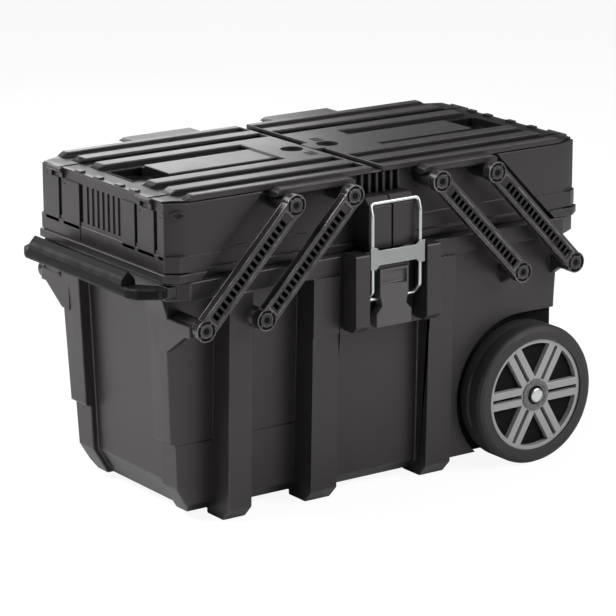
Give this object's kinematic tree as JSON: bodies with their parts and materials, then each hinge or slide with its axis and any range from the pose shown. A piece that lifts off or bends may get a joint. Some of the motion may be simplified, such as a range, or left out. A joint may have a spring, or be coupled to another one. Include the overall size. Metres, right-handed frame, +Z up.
{
  "type": "jobsite storage box",
  "caption": "Black rolling tool box with a deep bin, level-rising side trays on swing arms, ribbed lids, wire draw latch, sliding pull handle and spoked wheels.",
  "frame": {"origin": "middle of the footprint on the floor", "axes": "+X along the length from the pull handle to the wheels, +Y from the latch to the rear, +Z up"},
  "size_m": [0.6488, 0.369, 0.404],
  "materials": {
    "body_plastic": "satin moulded black with a fine grain",
    "lid_plastic": "smooth satin black",
    "arm_plastic": "satin black with rubbed rails",
    "grip_plastic": "soft matt black",
    "pin_black": "blackened",
    "tyre": "matt black",
    "wheel_grey": "satin mid grey",
    "latch_steel": "bright zinc",
    "dark_steel": "black powder coat"
  },
  "bodies": {
    "bin": {"bin_shell": "body_plastic", "lower_pivot_pins": "pin_black", "axle": "latch_steel", "axle_caps": "latch_steel", "latch_bracket": "dark_steel", "latch_lever_pin": "dark_steel"},
    "handle": {"handle_grip": "grip_plastic", "handle_tubes": "dark_steel"},
    "front_wheel": {"front_tyre": "tyre", "front_wheel_rim": "wheel_grey"},
    "rear_wheel": {"rear_tyre": "tyre", "rear_wheel_rim": "wheel_grey"},
    "latch_lever": {"latch_lever": "grip_plastic"},
    "latch_bail": {"latch_bail": "latch_steel", "latch_bail_plate": "latch_steel"},
    "left_outer_arms": {"left_outer_front_arm": "arm_plastic", "left_outer_rear_arm": "arm_plastic"},
    "left_inner_arms": {"left_inner_front_arm": "arm_plastic", "left_inner_rear_arm": "arm_plastic"},
    "left_tray": {"left_tray": "body_plastic", "left_upper_pivot_pins": "pin_black", "left_catch": "body_plastic", "left_lid_hinge_pins": "pin_black"},
    "left_lid": {"left_lid": "lid_plastic"},
    "right_outer_arms": {"right_outer_front_arm": "arm_plastic", "right_outer_rear_arm": "arm_plastic"},
    "right_inner_arms": {"right_inner_front_arm": "arm_plastic", "right_inner_rear_arm": "arm_plastic"},
    "right_tray": {"right_tray": "body_plastic", "right_upper_pivot_pins": "pin_black", "right_catch": "body_plastic", "right_lid_hinge_pins": "pin_black"},
    "right_lid": {"right_lid": "lid_plastic"}
  },
  "joints": [
    {"name": "left_tray_swing", "type": "hinge", "parent": "bin", "child": "left_outer_arms", "pos_m": [-0.2561, -0.0035, 0.2515], "axis": [0, -1, 0], "range_deg": [0, 78]},
    {"name": "left_inner_arm_swing", "type": "hinge", "parent": "bin", "child": "left_inner_arms", "pos_m": [-0.1727, -0.0035, 0.2515], "axis": [0, -1, 0], "range_deg": [0, 78]},
    {"name": "left_tray_level", "type": "hinge", "parent": "left_outer_arms", "child": "left_tray", "pos_m": [-0.1309, -0.0035, 0.3819], "axis": [0, -1, 0], "range_deg": [-78, 0]},
    {"name": "left_lid_hinge", "type": "hinge", "parent": "left_tray", "child": "left_lid", "pos_m": [-0.288, -0.0035, 0.396], "axis": [0, -1, 0], "range_deg": [0, 105]},
    {"name": "right_tray_swing", "type": "hinge", "parent": "bin", "child": "right_outer_arms", "pos_m": [0.2893, -0.0035, 0.2515], "axis": [0, 1, 0], "range_deg": [0, 78]},
    {"name": "right_inner_arm_swing", "type": "hinge", "parent": "bin", "child": "right_inner_arms", "pos_m": [0.2059, -0.0035, 0.2515], "axis": [0, 1, 0], "range_deg": [0, 78]},
    {"name": "right_tray_level", "type": "hinge", "parent": "right_outer_arms", "child": "right_tray", "pos_m": [0.1641, -0.0035, 0.3819], "axis": [0, 1, 0], "range_deg": [-78, 0]},
    {"name": "right_lid_hinge", "type": "hinge", "parent": "right_tray", "child": "right_lid", "pos_m": [0.3212, -0.0035, 0.396], "axis": [0, 1, 0], "range_deg": [0, 105]},
    {"name": "front_wheel_turn", "type": "hinge", "parent": "bin", "child": "front_wheel", "pos_m": [0.2323, -0.0035, 0.089], "axis": [0, 1, 0], "continuous": true},
    {"name": "rear_wheel_turn", "type": "hinge", "parent": "bin", "child": "rear_wheel", "pos_m": [0.2323, -0.0035, 0.089], "axis": [0, 1, 0], "continuous": true},
    {"name": "handle_slide", "type": "slide", "parent": "bin", "child": "handle", "axis": [-1, 0, 0], "range_m": [0, 0.38]},
    {"name": "latch_lever_turn", "type": "hinge", "parent": "bin", "child": "latch_lever", "pos_m": [0.0166, -0.165, 0.2845], "axis": [-1, 0, 0], "range_deg": [0, 100]},
    {"name": "latch_bail_turn", "type": "hinge", "parent": "latch_lever", "child": "latch_bail", "pos_m": [0.0166, -0.1665, 0.247], "axis": [-1, 0, 0], "range_deg": [-120, 0]}
  ],
  "couplings": [
    {"joint": "left_inner_arm_swing", "follows": "left_tray_swing", "ratio": 1},
    {"joint": "left_tray_level", "follows": "left_tray_swing", "ratio": -1},
    {"joint": "right_inner_arm_swing", "follows": "right_tray_swing", "ratio": 1},
    {"joint": "right_tray_level", "follows": "right_tray_swing", "ratio": -1},
    {"joint": "latch_bail_turn", "follows": "latch_lever_turn", "ratio": -1.2}
  ]
}
